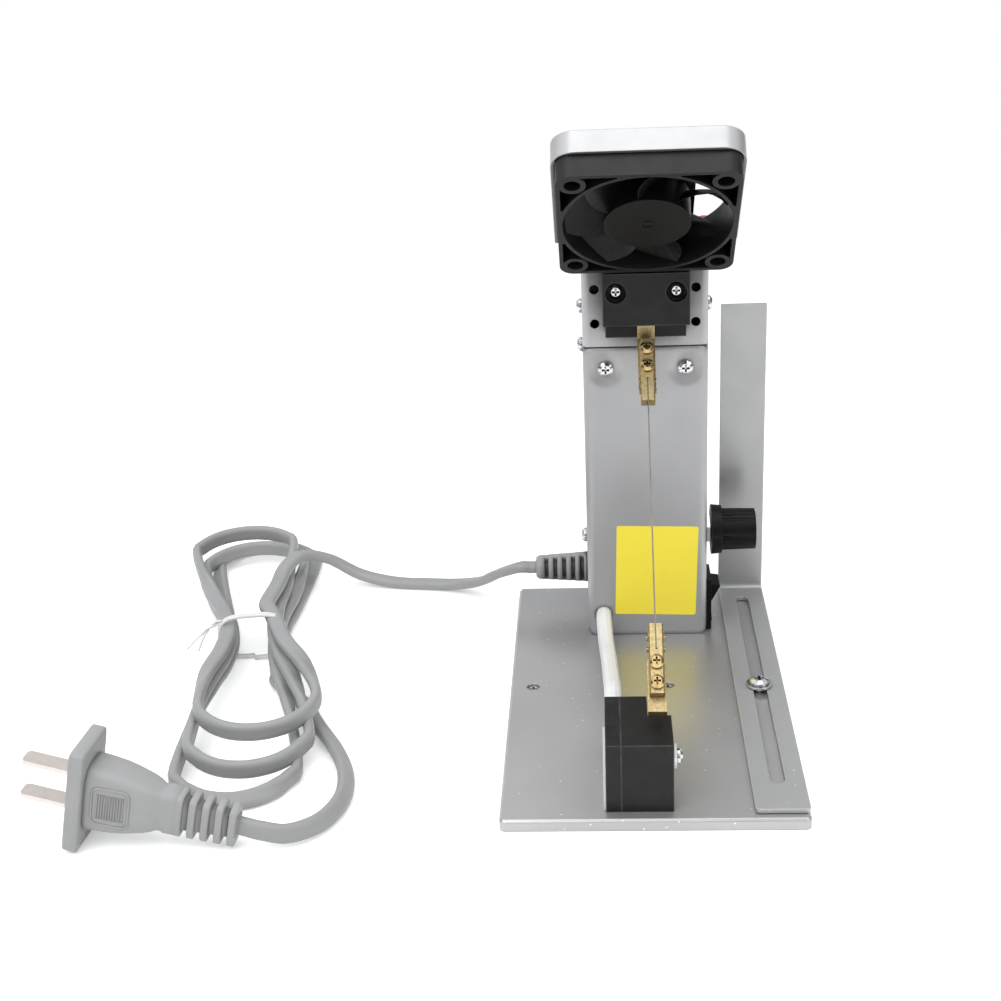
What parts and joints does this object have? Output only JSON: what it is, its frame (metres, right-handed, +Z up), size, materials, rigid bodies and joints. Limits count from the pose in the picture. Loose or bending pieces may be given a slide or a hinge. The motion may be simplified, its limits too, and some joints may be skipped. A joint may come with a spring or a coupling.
{
  "type": "bench hot knife",
  "caption": "Electrically heated bench knife: a steel blade leans between brass clamps from a base block to a sheet column with a fan, a sliding fence, a knob, a rocker and a corded plug.",
  "frame": {"origin": "middle of the base plate's underside, on the surface that the knife stands on", "axes": "+Z up, +X to the right as seen by the user, where the knob and the fence are, +Y away from the user, towards the column's back"},
  "size_m": [0.2546, 0.241, 0.2089],
  "materials": {
    "grey_paint": "satin grey paint",
    "chrome": "bright plated",
    "plated_sheet": "bright plated sheet",
    "fan_black": "matt moulded",
    "steel": "turned",
    "bronze": "sintered",
    "copper": "taped winding",
    "red_lead": "smooth",
    "bakelite": "machined",
    "brass": "machined",
    "blade_steel": "heat-stained",
    "white_fibre": "matt",
    "white_sleeve": "smooth",
    "knob_black": "satin",
    "grey_rubber": "satin",
    "pin_steel": "nickel",
    "core_steel": "laminated",
    "board_green": "lacquered"
  },
  "bodies": {
    "base": {"base_plate": "grey_paint", "sunk_screws": "chrome", "column_screws": "chrome", "column_shell": "grey_paint", "front_cover": "grey_paint", "cover_screws": "chrome", "head_bracket": "plated_sheet", "side_screws": "chrome", "fan_frame": "fan_black", "fan_bearing": "bronze", "fan_stator": "copper", "fan_screws": "chrome", "fan_lead": "red_lead", "upper_block": "bakelite", "upper_insulator": "bakelite", "upper_block_screws": "chrome", "upper_holder": "brass", "upper_blade_end": "brass", "upper_clamp_screws": "brass", "upper_jaw_screws": "brass", "blade": "blade_steel", "lower_blade_end": "brass", "lower_clamp_screws": "brass", "lower_jaw_screws": "brass", "lower_holder": "brass", "holder_screws": "chrome", "lower_block": "bakelite", "block_cheek": "bakelite", "insulating_strip": "white_fibre", "cross_screw": "chrome", "cross_washer": "white_fibre", "block_screws": "chrome", "lead_sleeve": "white_sleeve", "regulator_body": "fan_black", "regulator_nut": "chrome", "rocker_body": "knob_black", "strain_relief": "grey_rubber", "supply_cord": "grey_rubber", "cord_hank": "grey_rubber", "hank_tie": "white_sleeve", "cord_tail": "grey_rubber", "plug_body": "grey_rubber", "plug_pins": "pin_steel", "transformer_core": "core_steel", "transformer_coil": "copper", "inner_bracket": "plated_sheet", "control_board": "board_green", "board_parts": "fan_black"},
    "impeller": {"fan_impeller": "fan_black", "fan_shaft": "steel"},
    "knob": {"control_knob": "knob_black", "regulator_shaft": "steel"},
    "rocker": {"rocker_paddle": "knob_black"},
    "fence_pivot": {"fence_screw": "chrome", "fence_washer": "chrome"},
    "fence": {"fence": "grey_paint"}
  },
  "joints": [
    {"name": "fan_spin", "type": "hinge", "parent": "base", "child": "impeller", "pos_m": [0.002, 0.006, 0.175], "axis": [0, 0.7071, 0.7071], "continuous": true},
    {"name": "knob_turn", "type": "hinge", "parent": "base", "child": "knob", "pos_m": [0.035, 0.0535, 0.044], "axis": [1, 0, 0], "range_deg": [-150, 150]},
    {"name": "rocker_tilt", "type": "hinge", "parent": "base", "child": "rocker", "pos_m": [0.0255, 0.0535, 0.0151], "axis": [0, 1, 0], "range_deg": [-24, 0]},
    {"name": "fence_swivel", "type": "hinge", "parent": "base", "child": "fence_pivot", "pos_m": [0.0411, -0.0026, 0.004], "axis": [0, 0, 1], "range_deg": [-12, 0]},
    {"name": "fence_slide", "type": "slide", "parent": "fence_pivot", "child": "fence", "axis": [0, 1, 0], "range_m": [-0.014, 0.06]}
  ]
}
